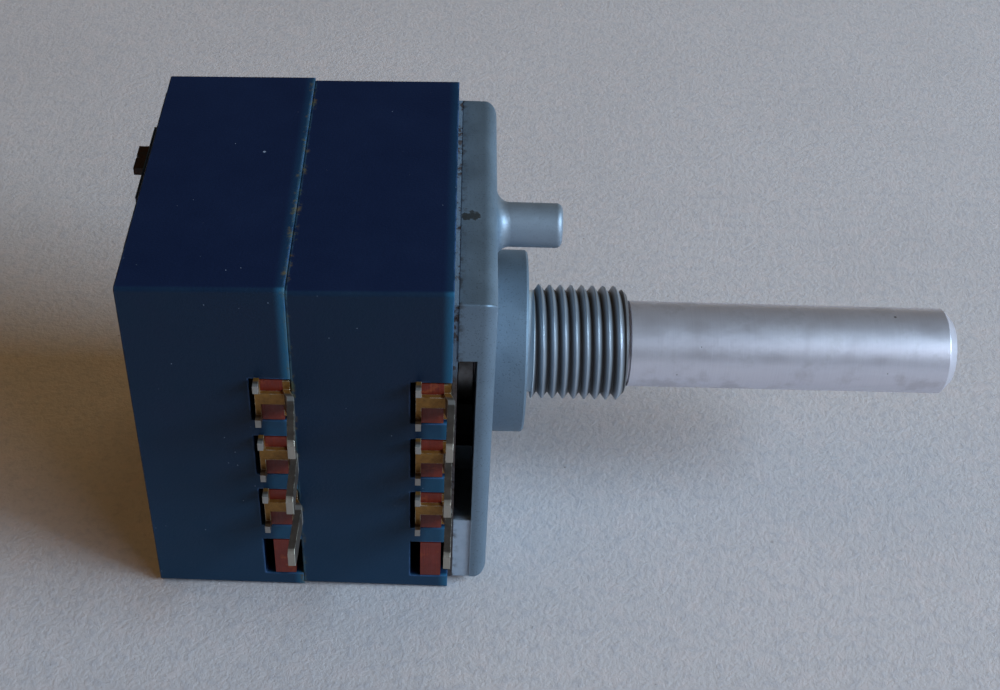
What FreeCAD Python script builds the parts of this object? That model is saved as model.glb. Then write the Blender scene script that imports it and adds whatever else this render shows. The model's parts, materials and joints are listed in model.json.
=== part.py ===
import FreeCAD, Part

import math
import os
import re

import Sketcher

# Dual-gang rotary potentiometer, in millimetres.
# +X runs along the shaft towards its free end, +Z is the side of the locating pin and the solder
# terminals stand out towards -Y. The origin is on the shaft's axis, in the mounting face.
# A gang's own pieces are drawn with x = 0 at the open mouth of its housing and placed by their bodies.

SIZES = [
    # shaft
    ("shaft_radius", 3.0, "standard 6 mm knob shaft"),
    ("shaft_end", 30.0, "free end, measured from the mounting face"),
    ("shaft_chamfer", 0.65, "chamfer of the free end"),
    ("shaft_shoulder", -3.55, "where the round shaft ends behind the bush"),
    ("neck_radius", 2.75, "turned neck that keeps the grease back at the bush's mouth"),
    ("neck_length", 0.8, "turned neck"),
    ("neck_front", 0.25, "turned neck, in front of the bush"),
    ("drive_radius", 2.5, "round part of the two-flat section that turns the rotors"),
    ("drive_flat", 2.0, "half the distance across the flats"),
    ("drive_end", -22.15, "rear end of the two-flat section"),
    ("journal_radius", 1.5, "rear bearing journal"),
    ("journal_end", -24.25, "rear end of the shaft"),
    ("running_gap", 0.03, "radial clearance of both bearings"),
    # mounting bush and plate, one zinc casting
    ("bush_length", 7.0, "threaded bush in front of the mounting face"),
    ("thread_radius", 4.0, "M8 fine thread, outside"),
    ("thread_pitch", 0.75, "M8 x 0.75"),
    ("thread_depth", 0.46, "depth of the V groove"),
    ("thread_crest", 0.09, "flat left on each crest"),
    ("thread_start", 0.45, "middle of the first groove"),
    ("tool_clearance", 0.05, "how far the thread's cutter stands outside the crests"),
    ("relief_length", 0.5, "plain collar at the foot of the thread"),
    ("relief_radius", 3.58, "plain collar at the foot of the thread"),
    ("face_relief_radius", 4.15, "shallow groove in the boss around the bush, so that a panel sits flat"),
    ("face_relief_depth", 0.1, "shallow groove in the boss around the bush"),
    ("bush_chamfer", 0.5, "outer edge of the bush's free end"),
    ("bore_chamfer", 0.3, "inner edge of the bush's free end"),
    ("boss_radius", 6.375, "round boss whose face meets the panel"),
    ("boss_height", 2.35, "boss in front of the plate"),
    ("boss_chamfer", 0.15, "edge of the boss"),
    ("plate_thickness", 1.15, "flat of the casting"),
    ("plate_half_width", 11.0, "plate along Y"),
    ("plate_half_height", 12.62, "plate along Z"),
    ("plate_edge_round", 0.85, "rounded front edge"),
    ("plate_corner_round", 0.12, "corners, behind the rounded front edge"),
    ("rim_depth", 1.2, "rim behind the plate"),
    ("rim_setback", 0.12, "near side of the rim below its opening, behind the plate's side"),
    ("cavity_radius", 7.5, "round cavity the stop arm swings in"),
    ("notch_low", -6.75, "side opening of the rim, lower edge"),
    ("notch_high", 8.05, "side opening of the rim, upper edge"),
    ("notch_floor", -6.0, "side opening of the rim, its inner end"),
    ("recess_radius", 5.0, "recess for the thrust washer and retaining ring"),
    ("recess_floor", -1.7, "bottom of that recess"),
    ("locator_radius", 1.475, "locating pin"),
    ("locator_height", 10.27, "locating pin above the shaft's axis"),
    ("locator_end", 1.97, "free end of the locating pin"),
    ("locator_round", 0.4, "free end of the locating pin"),
    ("locator_foot", 0.9, "fillet at the foot of the locating pin"),
    # stop
    ("arm_half_width", 1.5, "stop arm"),
    ("arm_reach", 6.9, "stop arm, from the axis"),
    ("arm_hub_radius", 4.2, "stop arm's hub"),
    ("arm_thickness", 1.0, "stop arm"),
    ("arm_gap", 0.1, "end play of the arm in the cavity"),
    ("stop_gap", 0.05, "left between arm and lug at the end of travel"),
    ("lug_angle", 30.0, "half the angle the lug keeps the arm out of"),
    ("lug_near", 5.2, "inner end of the lug, from the axis"),
    ("lug_root", 0.3, "how far the lug runs into the rim"),
    # washer and ring
    ("washer_thickness", 0.3, "thrust washer"),
    ("washer_radius", 4.7, "thrust washer"),
    ("ring_thickness", 0.6, "retaining ring"),
    ("clip_radius", 4.6, "retaining ring, outside"),
    ("clip_mouth", 1.7, "half the opening of the retaining ring"),
    ("groove_radius", 2.5, "bottom of the retaining ring's groove"),
    ("end_play", 0.03, "axial play on each side of the ring"),
    # insulating sheet
    ("sheet_thickness", 0.3, "fibre sheet between casting and housing"),
    ("sheet_half_width", 10.95, "sheet along Y"),
    ("sheet_half_height", 12.6, "sheet along Z"),
    # housings
    ("gang_length", 10.0, "each housing, mouth to closed end"),
    ("housing_half_width", 11.5, "housing along Y"),
    ("mouth_half_height", 13.57, "housing along Z at its mouth"),
    ("closed_half_height", 13.34, "housing along Z at its closed end"),
    ("housing_rise", 0.33, "middle of the housing above the shaft's axis"),
    ("housing_edge_round", 0.3, "long edges of the housing"),
    ("housing_end_round", 0.1, "edges of the closed end"),
    ("end_wall", 2.2, "closed end of the housing"),
    ("chamber_radius", 9.95, "round chamber of the rotor"),
    ("seat_half_width", 10.05, "seat of the board along Y"),
    ("seat_half_height", 11.95, "seat of the board along Z"),
    ("passage_radius", 3.4, "opening for the shaft between the gangs"),
    ("bearing_radius", 3.2, "rear bearing boss inside the last housing"),
    ("bearing_length", 0.6, "rear bearing boss inside the last housing"),
    ("bearing_depth", 1.6, "bearing bore into the closed end"),
    ("panel_step", 0.14, "each raised step of the rear face"),
    ("panel_margin", 1.2, "raised steps, above the lower edge of the rear face"),
    ("wide_panel_near", -7.3, "larger raised step along Y"),
    ("wide_panel_far", 9.9, "larger raised step along Y"),
    ("narrow_panel_near", -2.1, "smaller raised step along Y"),
    ("narrow_panel_far", 5.7, "smaller raised step along Y"),
    ("stud_radius", 0.8, "moulded studs that locate the board"),
    ("stud_across", 7.5, "studs along Y"),
    ("stud_up", 10.4, "studs along Z"),
    ("stud_root", 0.5, "how far the studs run into the housing's shelf"),
    # windows and terminals
    ("terminal_pitch", 5.0, "solder terminals along Z"),
    ("window_half_height", 1.8, "each window"),
    ("window_drop", 0.15, "windows and the board's tongues, below their terminals"),
    ("window_depth", 2.6, "windows, back from the mouth"),
    ("window_floor", -8.2, "windows, inner end"),
    # resistor board
    ("board_setback", 0.5, "board behind the mouth"),
    ("board_thickness", 1.4, "paper laminate"),
    ("board_gap", 0.05, "board in its seat"),
    ("tongue_half_height", 1.7, "tongue of the board in each window"),
    ("tongue_end", -11.5, "tongue of the board in each window"),
    ("board_hole", 3.4, "opening for the shaft"),
    ("track_inner", 7.4, "carbon track"),
    ("track_outer", 9.2, "carbon track"),
    ("track_thickness", 0.05, "carbon track"),
    ("track_gap_angle", 30.0, "half the angle left open at the terminals"),
    ("pad_half_height", 0.6, "silvered end of the track"),
    ("pad_end", -9.6, "where track and collector meet the terminals"),
    ("pad_overlap", 0.6, "how far pads and tail run into their rings"),
    ("collector_inner", 4.6, "collector ring"),
    ("collector_outer", 6.2, "collector ring"),
    ("collector_thickness", 0.2, "collector ring"),
    ("collector_tail", 0.6, "half the width of its tail"),
    ("blade_thickness", 0.45, "terminal, in front of the board"),
    ("blade_half_height", 1.5, "terminal, in front of the board"),
    ("blade_end", -7.8, "terminal, in front of the board"),
    ("leg_half_height", 0.8, "solder leg"),
    ("leg_end", -16.15, "solder leg's tip"),
    ("leg_taper", 0.25, "tip narrower on each side"),
    ("leg_root", 0.5, "solid part of the leg inside the tongue's end"),
    ("leg_bend", 0.1, "straight part of the leg outside the tongue's end"),
    ("leg_elbow", 0.7, "end of the leg's first bend, outside the tongue's end"),
    ("wrap_half_height", 0.45, "strap over the board's edge"),
    ("wrap_rise", 0.2, "strap over the board's edge, above the leg's middle"),
    ("wrap_thickness", 0.3, "strap over the board's edge"),
    ("back_thickness", 0.35, "terminal, behind the board"),
    ("ear_inner", 1.15, "ears of the terminal"),
    ("ear_outer", 1.78, "ears of the terminal"),
    ("ear_end", -12.35, "ears of the terminal"),
    ("ear_root", -11.55, "ears of the terminal, clear of the housing's wall"),
    # rotor and wiper
    ("rotor_radius", 9.4, "rotor disc"),
    ("rotor_front", -4.4, "front face of the rotor disc"),
    ("rotor_thickness", 1.2, "rotor disc"),
    ("rotor_skirt", 1.0, "rim behind the rotor disc"),
    ("rotor_skirt_inner", 8.6, "rim behind the rotor disc"),
    ("rotor_hub_radius", 4.0, "hub"),
    ("rotor_hub_front", -3.9, "hub"),
    ("rotor_hub_back", -7.1, "hub"),
    ("peg_radius", 0.5, "pegs that hold the wiper"),
    ("peg_place", 6.6, "pegs from the axis"),
    ("peg_height", 0.45, "pegs"),
    ("strip_thickness", 0.2, "bronze strip of the wiper"),
    ("wiper_inner", 4.1, "wiper's base ring"),
    ("wiper_outer", 5.7, "wiper's base ring"),
    ("wiper_ear", 7.6, "ears of the base ring"),
    ("wiper_ear_half", 1.2, "ears of the base ring"),
    ("contact_gap", 0.02, "left between each contact and its track"),
    ("track_contact", 8.3, "contact on the carbon track, from the axis"),
    ("ring_contact", 5.5, "contact on the collector ring, from the axis"),
    ("finger_split", 0.15, "half the slit between two fingers"),
    ("finger_width", 0.8, "each finger"),
    ("finger_root", 0.5, "how far a finger runs into the base ring"),
    ("contact_flat", 0.1, "half the length of a finger's contact"),
    ("tip_thickness", 0.25, "finger behind its contact"),
    ("tip_drop", 0.43, "turned-up tip, back from its contact"),
    ("tip_run", 0.65, "turned-up tip, past its contact"),
    ("tip_skew", 0.13, "slant of the tip's end"),
    # tie straps
    ("strap_place", 4.35, "middle of the strap along Y"),
    ("strap_half_width", 1.0, "strap along Y"),
    ("strap_low", 11.17, "strap along Z"),
    ("strap_thickness", 0.55, "strap along Z"),
    ("strap_gap", 0.04, "strap in its slots"),
    ("strap_head", 0.3, "peened head, depth and overhang"),
    ("tab_half_width", 1.27, "spread end behind the rear housing"),
    ("tab_end", -26.45, "end of the strap"),
    ("tab_split", 0.5, "depth of the split that spreads the end"),
    ("tab_slit", 0.12, "half the width of that split"),
]
NAMES = {name for name, _, _ in SIZES}

doc = FreeCAD.newDocument("potentiometer")
sheet = doc.addObject("Spreadsheet::Sheet", "Sizes")
for row, (name, size, meaning) in enumerate(SIZES, start=1):
    sheet.set(f"A{row}", name)
    sheet.set(f"B{row}", str(size))
    sheet.set(f"C{row}", meaning)
    sheet.setAlias(f"B{row}", name)
doc.recompute()

# Faces that several pieces share, as formulas of the sheet's cells.
PLATE_FRONT = "-boss_height"
PLATE_BACK = "-boss_height - plate_thickness"
RIM_BACK = f"{PLATE_BACK} - rim_depth"
FRONT_MOUTH = f"{RIM_BACK} - sheet_thickness"
REAR_MOUTH = f"{FRONT_MOUTH} - gang_length"
REAR_FACE = f"{REAR_MOUTH} - gang_length - 2 * panel_step"
BOARD_BACK = "-board_setback - board_thickness"

# How far each hand-bent leg stands off its blade's plane, at its elbow and at its tip.
LEG_BENDS = {
    "front_terminal_upper": (0.25, 0.2),
    "front_terminal_middle": (0.15, 0.15),
    "front_terminal_lower": (0.25, 0.2),
    "rear_terminal_upper": (0.3, 0.7),
    "rear_terminal_middle": (0.3, 0.35),
    "rear_terminal_lower": (0.35, 0.2),
}


def formula(text):
    """The text with each name of the sheet written as a reference to its cell."""
    return re.sub(r"[a-z_]+", lambda m: "Sizes." + m[0] if m[0] in NAMES else m[0], text)


def number(text):
    """The value of a formula, for first placing what a constraint then holds."""
    found = sheet.evalExpression(formula(text))
    return float(getattr(found, "Value", found))


def new_body(label, place="0"):
    """A body whose own x = 0 lies at the given place on the shaft's axis."""
    body = doc.addObject("PartDesign::Body", label)
    body.Label = label
    body.setExpression("Placement.Base.x", formula(place))
    return body


def sketch_across(body, name, place):
    """An empty sketch square to the shaft: its axes are +Y and +Z."""
    return new_sketch(body, name, "YZ_Plane", place)


def sketch_side(body, name, place):
    """An empty sketch along the shaft: its axes are +X and +Y, at a height along Z."""
    return new_sketch(body, name, "XY_Plane", place)


def sketch_upright(body, name, place):
    """An empty sketch along the shaft: its axes are +X and +Z, at a distance towards -Y."""
    return new_sketch(body, name, "XZ_Plane", place)


def new_sketch(body, name, role, place):
    plane = next(feature for feature in body.Origin.OriginFeatures if feature.Role == role)
    sketch = body.newObject("Sketcher::SketchObject", f"{body.Label}_{name}")
    sketch.AttachmentSupport = [(plane, "")]
    sketch.MapMode = "FlatFace"
    sketch.setExpression("AttachmentOffset.Base.z", formula(place))
    return sketch


def hold(sketch, kind, element, point, text):
    """Ties one coordinate of a point to a formula."""
    if text == "0":
        axis = -2 if kind == "DistanceX" else -1
        sketch.addConstraint(Sketcher.Constraint("PointOnObject", element, point, axis))
        return
    index = sketch.addConstraint(Sketcher.Constraint(kind, -1, 1, element, point, number(text)))
    sketch.setExpression(f"Constraints[{index}]", formula(text))


def draw_polygon(sketch, corners):
    """A closed outline whose corners are each held at their two formulas."""
    points = [FreeCAD.Vector(number(u), number(v), 0) for u, v in corners]
    first = sketch.GeometryCount
    count = len(points)
    for index, point in enumerate(points):
        sketch.addGeometry(Part.LineSegment(point, points[(index + 1) % count]), False)
    for index in range(count):
        following = first + (index + 1) % count
        sketch.addConstraint(Sketcher.Constraint("Coincident", first + index, 2, following, 1))
    for index, (u, v) in enumerate(corners):
        hold(sketch, "DistanceX", first + index, 1, u)
        hold(sketch, "DistanceY", first + index, 1, v)


def draw_box(sketch, low_u, high_u, low_v, high_v):
    draw_polygon(sketch, [(low_u, low_v), (high_u, low_v), (high_u, high_v), (low_u, high_v)])


def draw_circle(sketch, radius, u="0", v="0"):
    centre = FreeCAD.Vector(number(u), number(v), 0)
    circle = sketch.addGeometry(Part.Circle(centre, FreeCAD.Vector(0, 0, 1), number(radius)), False)
    hold(sketch, "DistanceX", circle, 3, u)
    hold(sketch, "DistanceY", circle, 3, v)
    index = sketch.addConstraint(Sketcher.Constraint("Radius", circle, number(radius)))
    sketch.setExpression(f"Constraints[{index}]", formula(radius))


def draw_two_flats(sketch, radius, flat):
    """A circle about the axis with a flat above and below."""
    reach = number(radius)
    high = number(flat)
    half = math.asin(high / reach)
    across = math.sqrt(reach**2 - high**2)
    circle = Part.Circle(FreeCAD.Vector(0, 0, 0), FreeCAD.Vector(0, 0, 1), reach)

    def straight(start, level):
        line = Part.LineSegment(FreeCAD.Vector(start, level, 0), FreeCAD.Vector(-start, level, 0))
        return sketch.addGeometry(line, False)

    top = straight(across, high)
    left = sketch.addGeometry(Part.ArcOfCircle(circle, math.pi - half, math.pi + half), False)
    low = straight(-across, -high)
    right = sketch.addGeometry(Part.ArcOfCircle(circle, -half, half), False)
    outline = (top, left, low, right)
    for index, one in enumerate(outline):
        sketch.addConstraint(Sketcher.Constraint("Coincident", one, 2, outline[(index + 1) % 4], 1))
    for arc in (left, right):
        sketch.addConstraint(Sketcher.Constraint("Coincident", arc, 3, -1, 1))
    for line in (top, low):
        sketch.addConstraint(Sketcher.Constraint("Horizontal", line))
    hold(sketch, "DistanceY", top, 1, flat)
    hold(sketch, "DistanceY", low, 1, f"-{flat}")
    index = sketch.addConstraint(Sketcher.Constraint("Radius", right, reach))
    sketch.setExpression(f"Constraints[{index}]", formula(radius))


def pad(body, sketch, length):
    """Adds the sketch's outline, towards its own normal."""
    feature = body.newObject("PartDesign::Pad", f"{sketch.Name}_pad")
    feature.Profile = sketch
    feature.setExpression("Length", formula(length))
    doc.recompute()
    return feature


def pocket(body, sketch, length):
    """Cuts the sketch's outline, towards its own normal."""
    before = body.Tip.Shape.Volume
    feature = body.newObject("PartDesign::Pocket", f"{sketch.Name}_pocket")
    feature.Profile = sketch
    feature.Reversed = True
    feature.setExpression("Length", formula(length))
    doc.recompute()
    if not feature.Shape.Volume < before - 1e-6:
        raise RuntimeError(f"{feature.Name} cuts nothing")
    return feature


def edges_where(body, test):
    """Names of the body's edges whose middle point and edge satisfy the test."""
    names = []
    for index, edge in enumerate(body.Tip.Shape.Edges, start=1):
        if edge.Degenerated:
            continue
        middle = edge.valueAt((edge.FirstParameter + edge.LastParameter) / 2)
        if test(edge, middle):
            names.append(f"Edge{index}")
    if not names:
        raise RuntimeError(f"no edge of {body.Label} is chosen")
    return names


def dress(body, kind, name, size, test):
    """Fillets or chamfers the edges that satisfy the test."""
    base = body.Tip
    names = edges_where(body, test)
    feature = body.newObject(f"PartDesign::{kind}", f"{body.Label}_{name}")
    feature.Base = (base, names)
    feature.setExpression("Radius" if kind == "Fillet" else "Size", formula(size))
    doc.recompute()
    return feature


def near(one, other):
    return abs(one - other) < 1e-3


def circle_at(x, radius, z=0.0):
    """A test for a round edge at a place along the axis."""

    def test(edge, middle):
        curve = edge.Curve
        if not isinstance(curve, Part.Circle):
            return False
        return near(curve.Center.x, x) and near(curve.Radius, radius) and near(curve.Center.z, z)

    return test


def strap_slots(body, name, place, length):
    """Cuts the slots of the two tie straps, one above and one below."""
    sketch = sketch_across(body, name, place)
    low = "strap_low - strap_gap"
    high = "strap_low + strap_thickness + strap_gap"
    half = "(strap_half_width + strap_gap)"
    draw_box(sketch, f"strap_place - {half}", f"strap_place + {half}", low, high)
    draw_box(sketch, f"-strap_place - {half}", f"-strap_place + {half}", f"-({high})", f"-({low})")
    return pocket(body, sketch, length)


def front_plate():
    """Zinc casting: plate, rim, boss, threaded bush and locating pin in one piece."""
    body = new_body("front_plate")

    flat = sketch_across(body, "flat", RIM_BACK)
    draw_box(flat, "-plate_half_width", "plate_half_width", "-plate_half_height", "plate_half_height")
    pad(body, flat, "rim_depth + plate_thickness")

    def corner(edge, middle):
        beside = near(abs(middle.y), number("plate_half_width"))
        return beside and near(abs(middle.z), number("plate_half_height"))

    front = number(PLATE_FRONT)
    dress(body, "Fillet", "front_edge", "plate_edge_round", lambda edge, middle: near(middle.x, front))
    dress(body, "Fillet", "corners", "plate_corner_round", corner)

    boss = sketch_across(body, "boss", PLATE_BACK)
    draw_circle(boss, "boss_radius")
    pad(body, boss, "plate_thickness + boss_height")
    dress(body, "Chamfer", "boss_edge", "boss_chamfer", circle_at(0.0, number("boss_radius")))

    locator = sketch_across(body, "locator", PLATE_BACK)
    draw_circle(locator, "locator_radius", "0", "locator_height")
    pad(body, locator, "plate_thickness + boss_height + locator_end")
    pin = (number("locator_radius"), number("locator_height"))
    dress(body, "Fillet", "locator_tip", "locator_round", circle_at(number("locator_end"), *pin))
    dress(body, "Fillet", "locator_foot", "locator_foot", circle_at(front, *pin))

    bush = sketch_across(body, "bush", PLATE_BACK)
    draw_circle(bush, "thread_radius")
    pad(body, bush, "plate_thickness + boss_height + bush_length")
    end = number("bush_length")
    dress(body, "Chamfer", "bush_end", "bush_chamfer", circle_at(end, number("thread_radius")))
    thread(body)

    cavity = sketch_across(body, "cavity", RIM_BACK)
    draw_circle(cavity, "cavity_radius")
    pocket(body, cavity, "rim_depth")
    stop_lug(body)
    notch = sketch_across(body, "notch", RIM_BACK)
    outside = "-plate_half_width - 1"
    set_back = "-plate_half_width + rim_setback"
    draw_polygon(
        notch,
        [
            (outside, "-plate_half_height - 1"),
            (set_back, "-plate_half_height - 1"),
            (set_back, "notch_low"),
            ("notch_floor", "notch_low"),
            ("notch_floor", "notch_high"),
            (outside, "notch_high"),
        ],
    )
    pocket(body, notch, "rim_depth")

    recess = sketch_across(body, "recess", RIM_BACK)
    draw_circle(recess, "recess_radius")
    pocket(body, recess, f"recess_floor - ({RIM_BACK})")
    bore = sketch_across(body, "bore", PLATE_BACK)
    draw_circle(bore, "shaft_radius + running_gap")
    pocket(body, bore, "plate_thickness + boss_height + bush_length + 1")
    dress(body, "Chamfer", "bore_end", "bore_chamfer", circle_at(end, number("shaft_radius + running_gap")))

    strap_slots(body, "strap_slots", RIM_BACK, "rim_depth + plate_thickness + 1")
    heads = sketch_across(body, "strap_heads", f"{PLATE_FRONT} - strap_head")
    over = "(strap_half_width + strap_head + strap_gap)"
    low = "strap_low - strap_head - strap_gap"
    high = "strap_low + strap_thickness + strap_gap"
    draw_box(heads, f"strap_place - {over}", f"strap_place + {over}", low, high)
    draw_box(heads, f"-strap_place - {over}", f"-strap_place + {over}", f"-({high})", f"-({low})")
    pocket(body, heads, "strap_head + 1")
    return body


def thread(body):
    """The bush's plain collar and its thread, a V groove along a helix."""
    collar = sketch_side(body, "collar", "0")
    outside = "thread_radius + 1"
    draw_polygon(
        collar,
        [
            ("-face_relief_depth", "relief_radius"),
            ("relief_length", "relief_radius"),
            ("relief_length", outside),
            ("0", outside),
            ("0", "face_relief_radius"),
            ("-face_relief_depth", "face_relief_radius"),
        ],
    )
    turned = body.newObject("PartDesign::Groove", "front_plate_collar_groove")
    turned.Profile = collar
    axis = next(feature for feature in body.Origin.OriginFeatures if feature.Role == "X_Axis")
    turned.ReferenceAxis = (axis, [""])
    turned.Angle = 360.0
    doc.recompute()

    half = "((thread_pitch - thread_crest) / 2)"
    flank = f"({half} * (1 + tool_clearance / thread_depth))"
    groove = sketch_side(body, "groove", "0")
    draw_polygon(
        groove,
        [
            ("thread_start", "thread_radius - thread_depth"),
            (f"thread_start + {flank}", "thread_radius + tool_clearance"),
            (f"thread_start - {flank}", "thread_radius + tool_clearance"),
        ],
    )
    before = body.Tip.Shape.Volume
    helix = body.newObject("PartDesign::SubtractiveHelix", "front_plate_thread")
    helix.Profile = groove
    helix.ReferenceAxis = (axis, [""])
    helix.Mode = "pitch-height-angle"
    helix.setExpression("Pitch", formula("thread_pitch"))
    helix.setExpression("Height", formula("bush_length + thread_pitch"))
    doc.recompute()
    if not helix.Shape.Volume < before:
        raise RuntimeError("the thread cuts nothing")


def stop_lug(body):
    """Cast lug at the bottom of the cavity; its flanks meet the arm's at both ends of travel."""
    offset = "(arm_half_width + stop_gap)"
    turn = "lug_angle * pi / 180 * 1 rad"

    def across(height):
        return f"({height} * tan({turn}) - {offset} / cos({turn}))"

    inner = across("lug_near")
    root = "(cavity_radius + lug_root)"
    outer = across(root)
    lug = sketch_across(body, "lug", f"{RIM_BACK} + arm_gap")
    draw_polygon(
        lug,
        [
            (f"-{inner}", "-lug_near"),
            (f"-{outer}", f"-{root}"),
            (outer, f"-{root}"),
            (inner, "-lug_near"),
        ],
    )
    pad(body, lug, "rim_depth")


def insulator_sheet():
    """Thin fibre sheet that keeps the terminals' blades off the casting."""
    body = new_body("insulator_sheet", FRONT_MOUTH)
    outline = sketch_across(body, "outline", "0")
    draw_box(outline, "-sheet_half_width", "sheet_half_width", "-sheet_half_height", "sheet_half_height")
    pad(body, outline, "sheet_thickness")
    hole = sketch_across(body, "hole", "0")
    draw_circle(hole, "passage_radius")
    pocket(body, hole, "sheet_thickness")
    strap_slots(body, "strap_slots", "0", "sheet_thickness")
    return body


def shaft():
    """Turned shaft: 6 mm in front, a two-flat section through both rotors and a rear journal."""
    body = new_body("shaft")
    journal = sketch_across(body, "journal", "journal_end")
    draw_circle(journal, "journal_radius")
    pad(body, journal, "drive_end - journal_end")
    drive = sketch_across(body, "drive", "drive_end")
    draw_two_flats(drive, "drive_radius", "drive_flat")
    pad(body, drive, "shaft_shoulder - drive_end")
    front = sketch_across(body, "front", "shaft_shoulder")
    draw_circle(front, "shaft_radius")
    pad(body, front, "shaft_end - shaft_shoulder")
    tip = number("shaft_end")
    dress(body, "Chamfer", "tip", "shaft_chamfer", circle_at(tip, number("shaft_radius")))
    back = number("journal_end")
    dress(body, "Chamfer", "journal_tip", "shaft_chamfer / 2", circle_at(back, number("journal_radius")))

    for name, place, radius, width in (
        ("groove", "recess_floor - washer_thickness - 2 * end_play - ring_thickness", "groove_radius",
         "ring_thickness + 2 * end_play"),
        ("neck", "bush_length + neck_front - neck_length", "neck_radius", "neck_length"),
    ):
        groove = sketch_across(body, name, place)
        draw_circle(groove, "shaft_radius + 1")
        draw_circle(groove, radius)
        pocket(body, groove, width)
    return body


def thrust_washer():
    body = new_body("thrust_washer")
    ring = sketch_across(body, "ring", "recess_floor - washer_thickness")
    draw_circle(ring, "washer_radius")
    draw_circle(ring, "shaft_radius + running_gap * 2")
    pad(body, ring, "washer_thickness")
    return body


def retaining_ring():
    """Spring steel clip in the shaft's groove, open at the bottom."""
    body = new_body("retaining_ring")
    place = "recess_floor - washer_thickness - end_play - ring_thickness"
    ring = sketch_across(body, "ring", place)
    draw_circle(ring, "clip_radius")
    draw_circle(ring, "groove_radius + running_gap")
    pad(body, ring, "ring_thickness")
    mouth = sketch_across(body, "mouth", place)
    draw_box(mouth, "-clip_mouth", "clip_mouth", "-clip_radius - 1", "0")
    pocket(body, mouth, "ring_thickness")
    reliefs = sketch_across(body, "reliefs", place)
    for side in ("-", ""):
        draw_circle(reliefs, "clip_mouth / 2", f"{side}clip_radius / 2", "clip_radius / 2")
    pocket(body, reliefs, "ring_thickness")
    return body


def stop_arm():
    """Stamped arm staked on the two-flat section; it stands up at mid travel."""
    body = new_body("stop_arm", f"{PLATE_BACK} - arm_gap - arm_thickness")
    hub = sketch_across(body, "hub", "0")
    draw_circle(hub, "arm_hub_radius")
    pad(body, hub, "arm_thickness")
    arm = sketch_across(body, "arm", "0")
    draw_box(arm, "-arm_half_width", "arm_half_width", "0", "arm_reach")
    pad(body, arm, "arm_thickness")
    hole = sketch_across(body, "hole", "0")
    draw_two_flats(hole, "drive_radius", "drive_flat")
    pocket(body, hole, "arm_thickness")
    return body


def housing(label, mouth, last):
    """Moulded housing of one gang; the last one also carries the shaft's rear bearing."""
    body = new_body(label, mouth)
    side = sketch_upright(body, "side", "-housing_half_width")
    draw_polygon(
        side,
        [
            ("-gang_length", "housing_rise - closed_half_height"),
            ("0", "housing_rise - mouth_half_height"),
            ("0", "housing_rise + mouth_half_height"),
            ("-gang_length", "housing_rise + closed_half_height"),
        ],
    )
    pad(body, side, "2 * housing_half_width")

    length = number("gang_length")
    dress(body, "Fillet", "edges", "housing_edge_round", lambda edge, middle: near(middle.x, -length / 2))
    dress(body, "Fillet", "end_edges", "housing_end_round", lambda edge, middle: near(middle.x, -length))
    if last:
        for step, name in enumerate(("wide_panel", "narrow_panel"), start=1):
            panel = sketch_across(body, name, f"-gang_length - {step} * panel_step")
            low = "-closed_half_height + panel_margin"
            near_side = f"{name}_near"
            far_side = f"{name}_far"
            draw_box(panel, near_side, far_side, low, "closed_half_height - housing_end_round")
            pad(body, panel, "2 * panel_step")

    seat = sketch_across(body, "seat", BOARD_BACK)
    draw_box(seat, "-seat_half_width", "seat_half_width", "-seat_half_height", "seat_half_height")
    pocket(body, seat, "board_setback + board_thickness + 1")
    chamber = sketch_across(body, "chamber", "-gang_length + end_wall")
    draw_circle(chamber, "chamber_radius")
    pocket(body, chamber, "gang_length - end_wall")
    windows(body)
    studs = sketch_across(body, "studs", f"{BOARD_BACK} - stud_root")
    for u in ("-stud_across", "stud_across"):
        for v in ("-stud_up", "stud_up"):
            draw_circle(studs, "stud_radius", u, v)
    pad(body, studs, "board_thickness + stud_root + board_setback / 2")

    if last:
        boss = sketch_across(body, "bearing", "-gang_length + end_wall / 2")
        draw_circle(boss, "bearing_radius")
        pad(body, boss, "end_wall / 2 + bearing_length")
        bore = sketch_across(body, "bearing_bore", "-gang_length + end_wall - bearing_depth")
        draw_circle(bore, "journal_radius + running_gap")
        pocket(body, bore, "bearing_depth + bearing_length")
    else:
        passage = sketch_across(body, "passage", "-gang_length")
        draw_circle(passage, "passage_radius")
        pocket(body, passage, "end_wall")
    strap_slots(body, "strap_slots", "-gang_length - 3 * panel_step", "gang_length + 3 * panel_step + 1")
    return body


def windows(body):
    """Four openings in the near wall, cut back from the mouth; the lowest holds no terminal."""
    sketch = sketch_across(body, "windows", "-window_depth")
    outside = "-housing_half_width - 1"
    half = "window_half_height"
    for place in range(-2, 2):
        middle = f"{place} * terminal_pitch - window_drop"
        draw_box(sketch, outside, "window_floor", f"{middle} - {half}", f"{middle} + {half}")
    pocket(body, sketch, "window_depth + 1")


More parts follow.
